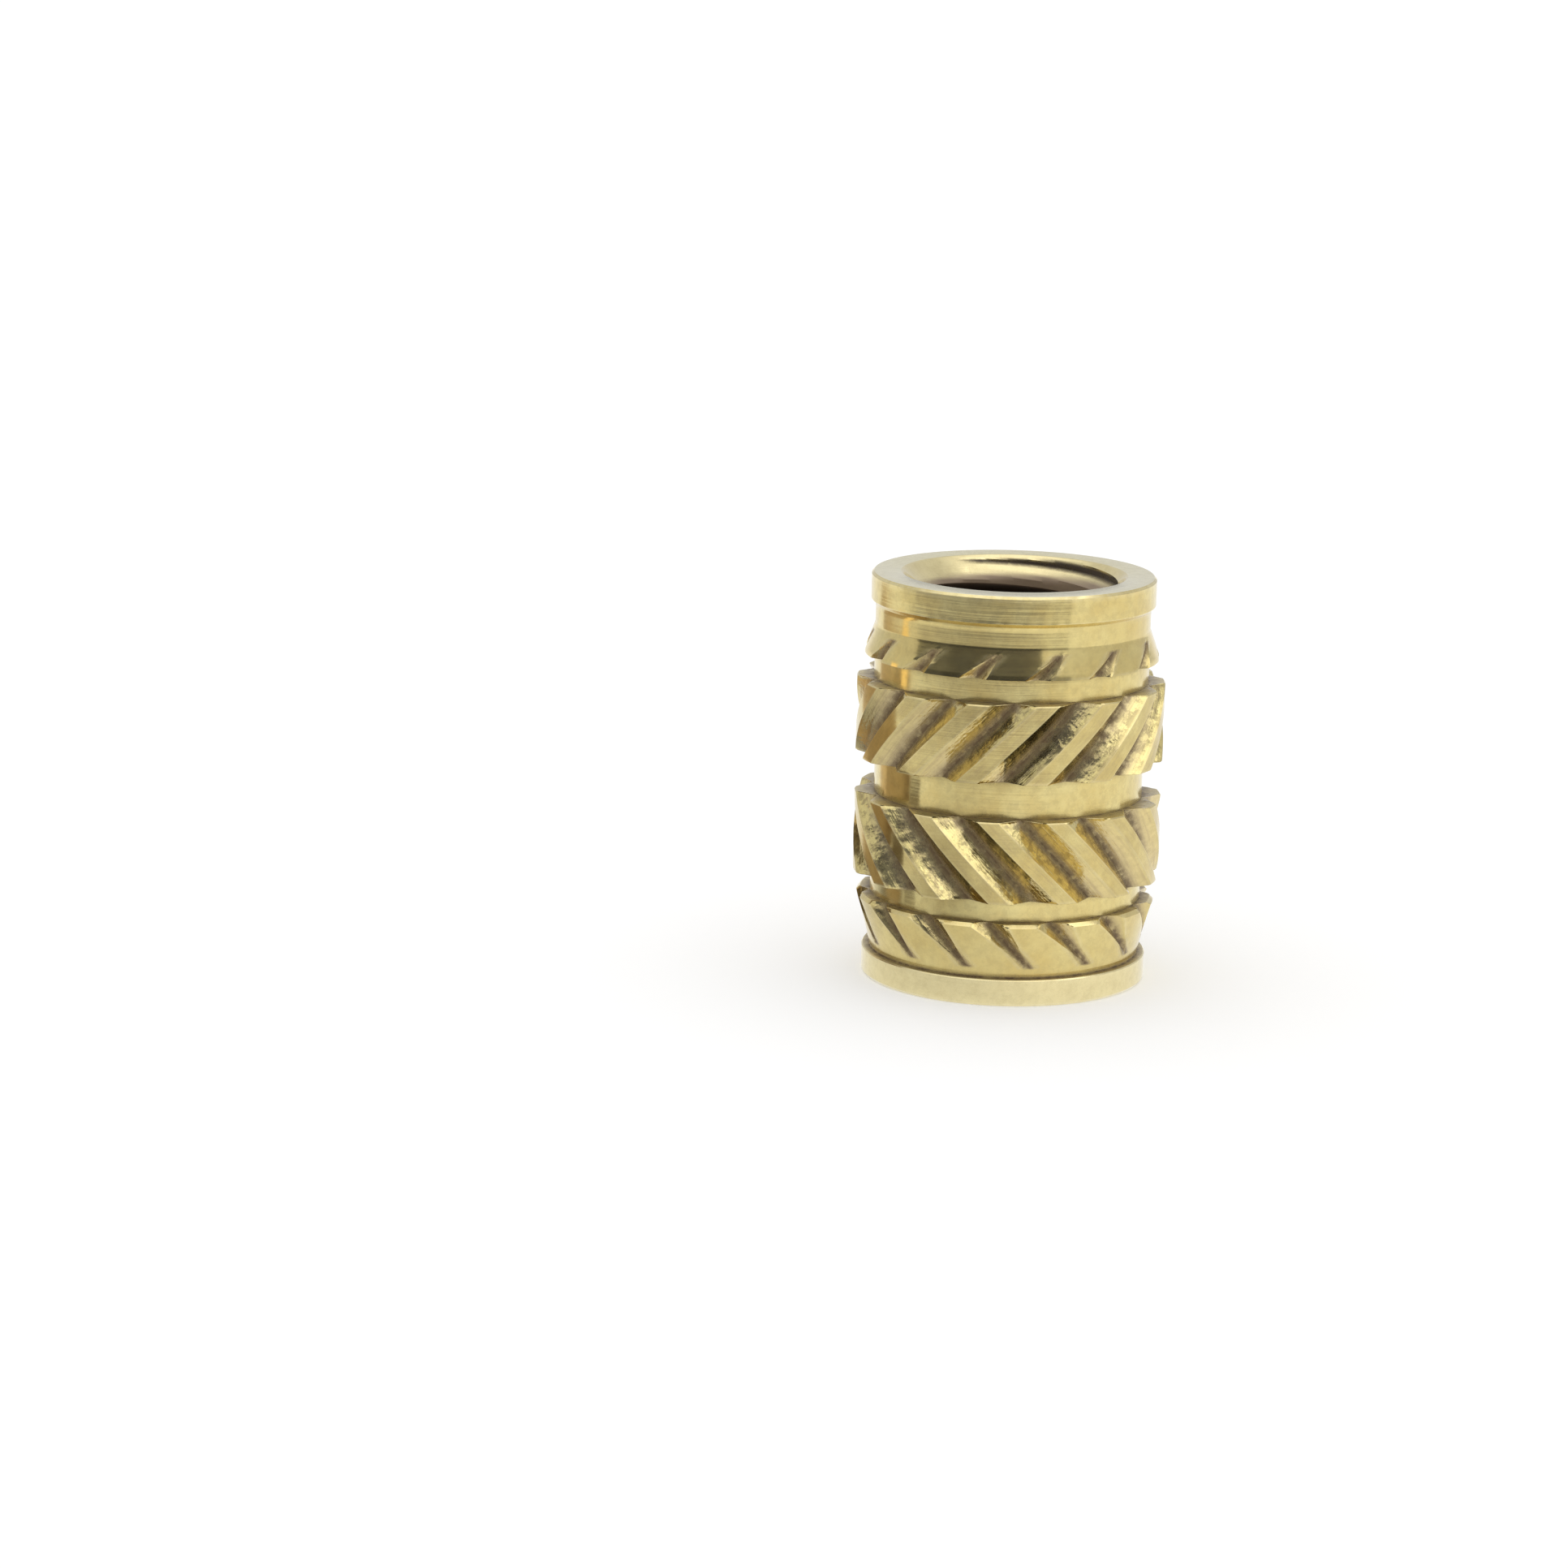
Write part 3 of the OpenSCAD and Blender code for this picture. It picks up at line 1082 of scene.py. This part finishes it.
@dataclass(frozen=True)
class Brass:
    """Finish of the insert: turned and knurled free-cutting brass, with painted shade and painted highlights.

    Heights and radii are the limits of differently toned parts; a share is how much of a tone is laid on.
    """

    blank: Blank = field(default_factory=Blank)
    tones: Tones = field(default_factory=Tones)
    slot: str = "brass"
    anisotropy: float = 0.8
    grain_turn: float = 0.25
    collar_top: float = 0.6205
    taper_top: float = 1.96
    neck_from: float = 7.59
    neck_to: float = 8.84
    face_level: float = 9.496
    land_r: float = 3.53
    cone_r: float = 2.625
    clouds: Patches = Patches(900.0, 3.0, 0.6, 0.35, 0.68)
    spots: Patches = Patches(4300.0, 5.0, 0.7, 0.48, 0.57)
    # specks of wear and painted highlight along the edges
    edge_rub_and_glint: Patches = Patches(5200.0, 3.0, 0.65, 0.3, 0.6, 0.25, 0.85)
    land_rub: Patches = Patches(2600.0, 4.0, 0.7, 0.3, 0.7, 0.15, 0.6)
    flecks: Patches = Patches(4700.0, 5.0, 0.75, 0.42, 0.64, 0.0, 0.2)
    corner_shade: Patches = Patches(5200.0, 3.0, 0.65, 0.25, 0.6, 0.45, 1.0)
    seam: Patches = Patches(5200.0, 3.0, 0.65, 0.3, 0.55, 0.25, 1.0)
    spots_on_all: float = 0.16
    spots_on_torn: float = 0.52
    root_spread: float = 0.25
    valley_floor_shade_share: float = 0.4
    streaks_in_valleys: float = 0.4
    streaks_on_lands: float = 0.6
    # share of the collar's painted highlight
    collar_share: float = 0.75
    warm_share: float = 0.3
    # share of the countersinks' painted highlight
    cone_share: float = 0.8
    root_shade_share: float = 0.95
    bore_share: float = 0.85
    slit_shade_share: float = 0.9
    marks_depth: float = 0.0000024
    torn_depth: float = 0.000005
    drag_share: float = 1.2
    streaks_from: float = 0.46
    streaks_to: float = 0.66
    shade_on_metal: float = 0.8
    bore_shade_on_metal: float = 0.7
    along_from: float = 0.3
    bands_from: float = 0.3
    bands_to: float = 0.7
    smoothest: float = 0.13
    roughest: float = 0.20
    rubbed_slick: float = -0.10
    rubbed_torn: float = -0.05
    rubbed_cone: float = -0.06
    roughened: float = 0.4

    def dress(self, piece: bpy.types.Object) -> None:
        """Gives a piece this finish."""
        piece.data.materials.append(self.material())

    def material(self) -> bpy.types.Material:
        """Builds the material.

        Returns:
            The material.
        """
        made, bare = new_material("turned_brass")
        t = BrassTree(bare.tree, self)
        inputs = {
            "Anisotropic": self.anisotropy,
            "Anisotropic Rotation": self.grain_turn,
            "Tangent": self._grain(t),
            "Base Color": self._colour(t),
            # painted shade also takes away the shine of the metal
            "Metallic": t.rest(t.painted_shade),
            "Roughness": self._roughness(t),
            "Normal": self._relief(t),
        }
        shader = t.add("BsdfPrincipled", inputs)
        t.add("OutputMaterial", {"Surface": shader.outputs[0]})
        return made

    def _grain(self, t: "BrassTree") -> Socket:
        """Direction of the tool's marks: round the insert, and along the valleys inside them.

        Args:
            t: The tree of the material.

        Returns:
            The socket of the direction.
        """
        around = t.add("Tangent", {}, direction_type="RADIAL", axis="Z").outputs[0]
        side = t.vector("SCALE", {0: around, "Scale": t.hand(t.height, self.blank.hand_level)})
        along = t.vector("ADD", {0: side, 1: (0.0, 0.0, 1.0)})
        inputs = {"Factor": t.math("GREATER_THAN", t.cut, self.along_from), 4: around, 5: along}
        return t.add("Mix", inputs, data_type="VECTOR").outputs[1]

    def _colour(self, t: "BrassTree") -> Socket:
        """Colour of the metal, laid on in layers.

        Args:
            t: The tree of the material.

        Returns:
            The colour's socket.
        """
        tones = self.tones
        spots = t.math("ADD", self.spots_on_all, t.product(t.tears, self.spots_on_torn), clamp=True)
        deep = t.math("POWER", t.root, self.root_spread)
        streaks = t.span(t.drag, self.streaks_from, self.streaks_to)
        land = t.product(t.above(t.distance, self.land_r), t.rest(t.cut), t.patches(t.point, self.land_rub))
        collar = t.below(t.height, self.collar_top)
        taper = t.math("SUBTRACT", t.below(t.height, self.taper_top), collar)
        neck = t.math("SUBTRACT", t.above(t.height, self.neck_from), t.above(t.height, self.neck_to))
        layers = (
            (t.cut, tones.flank),
            (t.slick, tones.burnished),
            (t.product(t.patches(t.point, self.spots), spots), tones.stained),
            # painted shade: the valleys' sides browner and darker toward their floors
            (t.product(deep, t.cut, self.valley_floor_shade_share), tones.valley_floor_shade),
            (t.product(streaks, t.cut, self.streaks_in_valleys), tones.dragged),
            # edges: wear with painted highlights in specks
            (t.product(t.edge, t.patches(t.point, self.edge_rub_and_glint)), tones.wear_and_highlight),
            (land, tones.dull),
            (t.product(streaks, land, self.streaks_on_lands), tones.dragged),
            # painted highlight: the collar painted paler, less so in the recess over it
            (t.product(collar, t.rest(t.recess, self.collar_share)), tones.wear_and_highlight),
            (t.product(taper, self.warm_share), tones.warm),
            (t.product(neck, self.warm_share), tones.warm),
            # painted highlight: the top face painted pale
            (t.above(t.height, self.face_level), tones.pale),
            # painted highlight: the countersinks painted paler
            (t.product(t.cone, self.cone_share), tones.wear_and_highlight),
            (t.patches(t.point, self.flecks), tones.fleck),
            # painted shade in corners, recesses and along the valley floors
            (t.dark, tones.shade_brown),
            # painted shade inside the bore
            (t.product(t.bore, self.bore_share), tones.bore_tint),
            # painted shade in the thread's groove where it cuts the countersinks
            (t.product(t.cone, t.root, self.slit_shade_share), tones.slit_shade),
        )
        colour = t.mix(t.patches(t.point, self.clouds), tones.bright, tones.warm)
        for share, tone in layers:
            colour = t.mix(share, colour, tone)
        return colour

    def _roughness(self, t: "BrassTree") -> Socket:
        """Roughness of the metal: changing with the rings, less on rubbed metal, more where shade is painted.

        Args:
            t: The tree of the material.

        Returns:
            The socket of the roughness.
        """
        rough = t.span(t.marks["Bands"], self.bands_from, self.bands_to, self.smoothest, self.roughest)
        rubs = (self.rubbed_slick, self.rubbed_torn, self.rubbed_cone, self.roughened)
        for mask, change in zip((t.slick, t.tears, t.cone, t.painted_shade), rubs):
            rough = t.math("ADD", rough, t.product(mask, change), clamp=True)
        return rough

    def _relief(self, t: "BrassTree") -> Socket:
        """Fine relief: rings on the turned metal, torn and streaked metal in the valleys.

        Args:
            t: The tree of the material.

        Returns:
            The socket of the normal.
        """
        inputs = {"Distance": self.marks_depth, "Strength": t.rest(t.cut), "Height": t.marks["Height"]}
        rings = t.add("Bump", inputs).outputs[0]
        torn = t.add("Group", {}, node_tree=torn_metal()).outputs["Height"]
        height = t.math("ADD", torn, t.product(t.drag, self.drag_share))
        inputs = {"Distance": self.torn_depth, "Strength": t.cut, "Height": height, "Normal": rings}
        return t.add("Bump", inputs).outputs[0]


class BrassTree(Tree):
    """Tree of the brass, with the sockets of what it reads at each point of its surface."""

    def __init__(self, tree: bpy.types.NodeTree, brass: Brass) -> None:
        """Places the nodes that read the surface.

        Args:
            tree: The tree of the material.
            brass: The finish.
        """
        super().__init__(tree)
        streaks = drag_streaks(brass.blank.lower_valleys, brass.blank.hand_level)
        self.drag = self.add("Group", {}, node_tree=streaks).outputs["Streaks"]
        self.marks = self.add("Group", {}, node_tree=turning_marks()).outputs
        self.point = self.place()
        self.height = self.parts(self.point)[2]
        self.distance = self.radius(self.point)
        self.cone = self.below(self.distance, brass.cone_r)
        self.cut, self.root, self.edge = (self.mask(m) for m in (Mask.CUT, Mask.ROOT, Mask.EDGE))
        self.recess, self.bore, side = (self.mask(m) for m in (Mask.RECESS, Mask.BORE, Mask.TORN))
        self.tears = self.math("MULTIPLY", side, 1.0, clamp=True)
        self.slick = self.math("MULTIPLY", side, -1.0, clamp=True)
        # painted shade in corners and recesses, broken up by noise
        corner_shade = self.product(self.recess, self.patches(self.point, brass.corner_shade))
        # seam: painted shade along the valley floors
        seam = self.product(self.root, self.patches(self.point, brass.seam), brass.root_shade_share)
        # painted shade inside the bore also dulls the metal
        brown = self.product(self.bore, brass.bore_shade_on_metal)
        # the painted shade of corners, recesses and valley floors, which with the bore's also dulls the metal
        self.dark = self.math("MAXIMUM", corner_shade, seam)
        self.painted_shade = self.math("MAXIMUM", self.product(self.dark, brass.shade_on_metal), brown)


def link_object(name: str, data: bpy.types.ID) -> bpy.types.Object:
    """Makes an object and links it to the scene.

    Args:
        name: Its name.
        data: Its mesh or camera.

    Returns:
        The object.
    """
    made = bpy.data.objects.new(name, data)
    bpy.context.scene.collection.objects.link(made)
    return made


def stage_piece(
    name: str, points: np.ndarray, faces: list[tuple[int, ...]], material: bpy.types.Material,
    in_metal_only: bool = True,
) -> bpy.types.Object:
    """Builds a piece of the stage.

    Args:
        name: Its name.
        points: Its points in millimetres.
        faces: Its faces.
        material: Its material.
        in_metal_only: Whether it shows in reflections only.

    Returns:
        The object.
    """
    mesh = bpy.data.meshes.new(name)
    mesh.from_pydata((points * MM).tolist(), [], faces)
    mesh.materials.append(material)
    piece = link_object(name, mesh)
    if in_metal_only:
        piece.visible_camera = piece.visible_shadow = piece.visible_diffuse = False
    return piece


@dataclass(frozen=True)
class Card:
    """Curved card that stands round the insert and is seen in its metal only.

    The sides are directions in degrees from the front, and the tops the heights there. The brightness
    changes through the tones from the foot over the fade, and rises by lift from lift_from to lift_to.
    """

    name: str
    sides: tuple[float, float]
    tops: tuple[float, float]
    tones: tuple[float, float]
    fade: float
    distance: float = 58.0
    foot: float = -0.2
    tint: Colour = (1.0, 1.0, 1.0, 1.0)
    lift: float = 0.0
    lift_from: float = 24.0
    lift_to: float = 50.0
    columns: int = 24

    def build(self) -> None:
        """Builds the card with its glow."""
        angles = np.radians(np.linspace(*self.sides, self.columns + 1) - 90.0)
        tops = np.linspace(*self.tops, self.columns + 1)
        x, y = self.distance * np.cos(angles), self.distance * np.sin(angles)
        rows = [np.stack([x, y, z], axis=-1) for z in (np.full_like(tops, self.foot), tops)]
        n = self.columns + 1
        faces = [(i, i + 1, n + i + 1, n + i) for i in range(self.columns)]
        stage_piece(self.name, np.concatenate(rows), faces, self._glow())

    def _glow(self) -> bpy.types.Material:
        """Builds the card's light, which changes from its foot upwards.

        Returns:
            The material.
        """
        made, t = new_material(self.name)
        height = t.parts(t.place())[2]
        rise = t.span(height, self.foot * MM, (self.foot + self.fade) * MM, *self.tones)
        lifted = t.span(height, self.lift_from * MM, self.lift_to * MM, 0.0, self.lift)
        strength = t.math("ADD", rise, lifted)
        glow = t.add("Emission", {"Strength": strength, "Color": self.tint})
        t.add("OutputMaterial", {"Surface": glow.outputs[0]})
        made.cycles.emission_sampling = "NONE"
        return made


@dataclass(frozen=True)
class Roller:
    """Brass roller that lies at the left and is seen in the insert's metal only."""

    name: str = "neighbour"
    radius: float = 3.45
    near: tuple[float, float] = (-9.3, -0.2)
    far: tuple[float, float] = (-13.6, 7.6)
    sides: int = 48
    colour: Colour = (0.70, 0.54, 0.355, 1.0)
    roughness: float = 0.38

    def build(self) -> None:
        """Builds the roller and its metal."""
        ends = [np.array((*end, self.radius)) for end in (self.near, self.far)]
        way = (ends[1] - ends[0]) / np.linalg.norm(ends[1] - ends[0])
        angles = np.linspace(0.0, 2.0 * math.pi, self.sides, endpoint=False)[:, None]
        side, up = np.array((-way[1], way[0], 0.0)), np.array((0.0, 0.0, 1.0))
        circle = self.radius * (np.cos(angles) * side + np.sin(angles) * up)
        n = self.sides
        faces = [(i, (i + 1) % n, n + (i + 1) % n, n + i) for i in range(n)]
        faces += [tuple(range(n)), tuple(range(2 * n - 1, n - 1, -1))]
        made, t = new_material(self.name)
        inputs = {"Metallic": 1.0, "Base Color": self.colour, "Roughness": self.roughness}
        metal = t.add("BsdfPrincipled", inputs)
        t.add("OutputMaterial", {"Surface": metal.outputs[0]})
        stage_piece(self.name, np.concatenate([end + circle for end in ends]), faces, made)


@dataclass(frozen=True)
class Shade:
    """Darker spot of the table, as the metal sees it.

    The brightness is tone at its middle, and rises to full over the two distances of its reach.
    """

    centre: tuple[float, float]
    tone: float
    reach: tuple[float, float]


@dataclass(frozen=True)
class Studio:
    """White table and plain soft light round the insert.

    The table and the surroundings are plain white to the camera, and have other tones in the metal only.
    """

    floor_size: float = 2000.0
    floor_gap: float = 0.005
    floor_white: float = 0.9
    floor_lift: float = 0.16
    near_tone: float = 1.0
    far_tone: float = 0.36
    shade_from: float = 20.0
    shade_to: float = 54.0
    shade_way: float = -32.0
    shades: tuple[Shade, ...] = (
        Shade((0.0, 0.0), 0.93, (4.6, 6.2)),
        Shade((-8.5, -9.5), 0.45, (1.5, 11.5)),
        Shade((-10.5, 2.0), 0.26, (2.0, 6.5)),
    )
    low_light: float = 0.68
    high_light: float = 1.25
    light_from: float = 0.70
    light_to: float = 0.96
    cards: tuple[Card, ...] = (
        Card("left_card", (-83.0, -53.0), (30.0, 46.0), (0.38, 0.06), 9.0, tint=COLD, lift=0.15),
        Card("dark_card", (-53.0, 25.0), (78.0, 54.0), (0.36, 0.03), 9.0, tint=COLD, lift=0.15),
        Card("low_card", (25.0, 46.0), (25.0, 25.0), (0.45, 0.25), 10.0),
        Card("brown_card", (-82.0, -71.0), (3.1, 3.1), (0.10, 0.16), 3.0, 12.0, -0.1, (1.0, 0.78, 0.55, 1.0)),
        Card("glint_card", (-78.6, -72.6), (8.1, 8.1), (1.3, 1.3), 1.0, 5.8, 6.4, (1.0, 0.76, 0.42, 1.0)),
        Card("bright_card", (16.0, 100.0), (200.0, 200.0), (1.25, 1.65), 50.0, 110.0, 74.0),
    )

    def build(self) -> None:
        """Builds the table, the light, the cards and the roller."""
        self._table()
        self._world()
        for card in self.cards:
            card.build()
        Roller().build()

    def _table(self) -> None:
        """Builds the white table top: plain white to the camera, and clear from below."""
        made, t = new_material("white_table")
        white = t.add("BsdfDiffuse", {"Color": (self.floor_white,) * 3 + (1.0,)})
        path = t.add("LightPath", {}).outputs
        strength = t.product(path["Is Camera Ray"], self.floor_lift)
        lift = t.add("Emission", {"Strength": strength})
        lit = t.add("AddShader", {0: white.outputs[0], 1: lift.outputs[0]})
        mirrored = t.add("Emission", {"Strength": self._mirrored_tone(t)})
        shaders = {0: path["Is Glossy Ray"], 1: lit.outputs[0], 2: mirrored.outputs[0]}
        both = t.add("MixShader", shaders)
        under = t.add("NewGeometry", {}).outputs["Backfacing"]
        clear = t.add("BsdfTransparent", {})
        seen = t.add("MixShader", {0: under, 1: both.outputs[0], 2: clear.outputs[0]})
        t.add("OutputMaterial", {"Surface": seen.outputs[0]})
        made.cycles.emission_sampling = "NONE"
        corners = np.array([(-1, -1, 0), (1, -1, 0), (1, 1, 0), (-1, 1, 0)]) * self.floor_size
        table = stage_piece("table_top", corners, [(0, 1, 2, 3)], made, in_metal_only=False)
        table.location.z = -self.floor_gap * MM

    def _mirrored_tone(self, t: Tree) -> Socket:
        """Tone of the table in the metal: darker to the front, round the foot and by the roller.

        Args:
            t: The tree of the table's material.

        Returns:
            The socket of the tone.
        """
        place = t.place()
        turn = math.radians(self.shade_way - 90.0)
        way = t.vector("DOT_PRODUCT", {0: place, 1: (math.cos(turn), math.sin(turn), 0.0)}, "Value")
        tone = t.span(way, self.shade_from * MM, self.shade_to * MM, self.near_tone, self.far_tone)
        for shade in self.shades:
            x, y = shade.centre
            away = t.vector("DISTANCE", {0: place, 1: (x * MM, y * MM, 0.0)}, "Value")
            start, stop = shade.reach
            tone = t.product(tone, t.span(away, start * MM, stop * MM, shade.tone, 1.0))
        return tone

    def _world(self) -> None:
        """Builds the plain white surroundings; the metal sees them brighter overhead."""
        world = bpy.data.worlds.new("studio")
        bpy.context.scene.world = world
        world.use_nodes = True
        t = Tree(world.node_tree)
        height = t.parts(t.add("TexCoord", {}).outputs["Generated"])[2]
        rise = t.span(height, self.light_from, self.light_to, self.low_light, self.high_light)
        glossy = t.add("LightPath", {}).outputs["Is Glossy Ray"]
        change = t.product(glossy, t.math("SUBTRACT", rise, 1.0))
        inputs = {"Color": (1.0, 1.0, 1.0, 1.0), "Strength": t.math("ADD", 1.0, change)}
        glow = t.add("Background", inputs)
        t.add("OutputWorld", {"Surface": glow.outputs[0]})


@dataclass(frozen=True)
class View:
    """Camera that looks at the insert from the front and a little from above."""

    lens: float = 103.17
    distance: float = 105.18
    elevation: float = 12.146
    heading: float = 2.916
    tilt: float = 12.360
    roll: float = 1.231
    clip: tuple[float, float] = (0.002, 10.0)

    def build(self) -> None:
        """Places the camera by the insert's own box."""
        middle = (Vector(CAD_BOX[0]) + Vector(CAD_BOX[1])) / 2
        rise = math.radians(self.elevation)
        away = Vector((0.0, -math.cos(rise), math.sin(rise))) * self.distance * MM
        data = bpy.data.cameras.new("camera")
        data.lens = self.lens
        data.clip_start, data.clip_end = self.clip
        turn = Matrix.Translation(middle + away)
        for angle, axis in ((self.heading, "Z"), (90.0 - self.tilt, "X"), (self.roll, "Z")):
            turn = turn @ Matrix.Rotation(math.radians(angle), 4, axis)
        camera = link_object("camera", data)
        camera.matrix_world = turn
        bpy.context.scene.camera = camera


def main() -> None:
    """Builds the insert, its finish, the studio and the camera."""
    logging.basicConfig(level=logging.INFO, format="%(message)s")
    bpy.context.scene.view_settings.view_transform = "Standard"
    piece = Insert().build()
    finish = Brass()
    finish.dress(piece)
    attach(piece, "root" if "root" in frame["bodies"] else sorted(frame["bodies"])[0])
    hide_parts("insert")
    LOG.info("insert: %d points, %d faces", len(piece.data.vertices), len(piece.data.polygons))
    Studio().build()
    LOG.info("studio: table, light, cards and roller")
    View().build()
    LOG.info("camera placed")


if __name__ == "__main__":
    main()
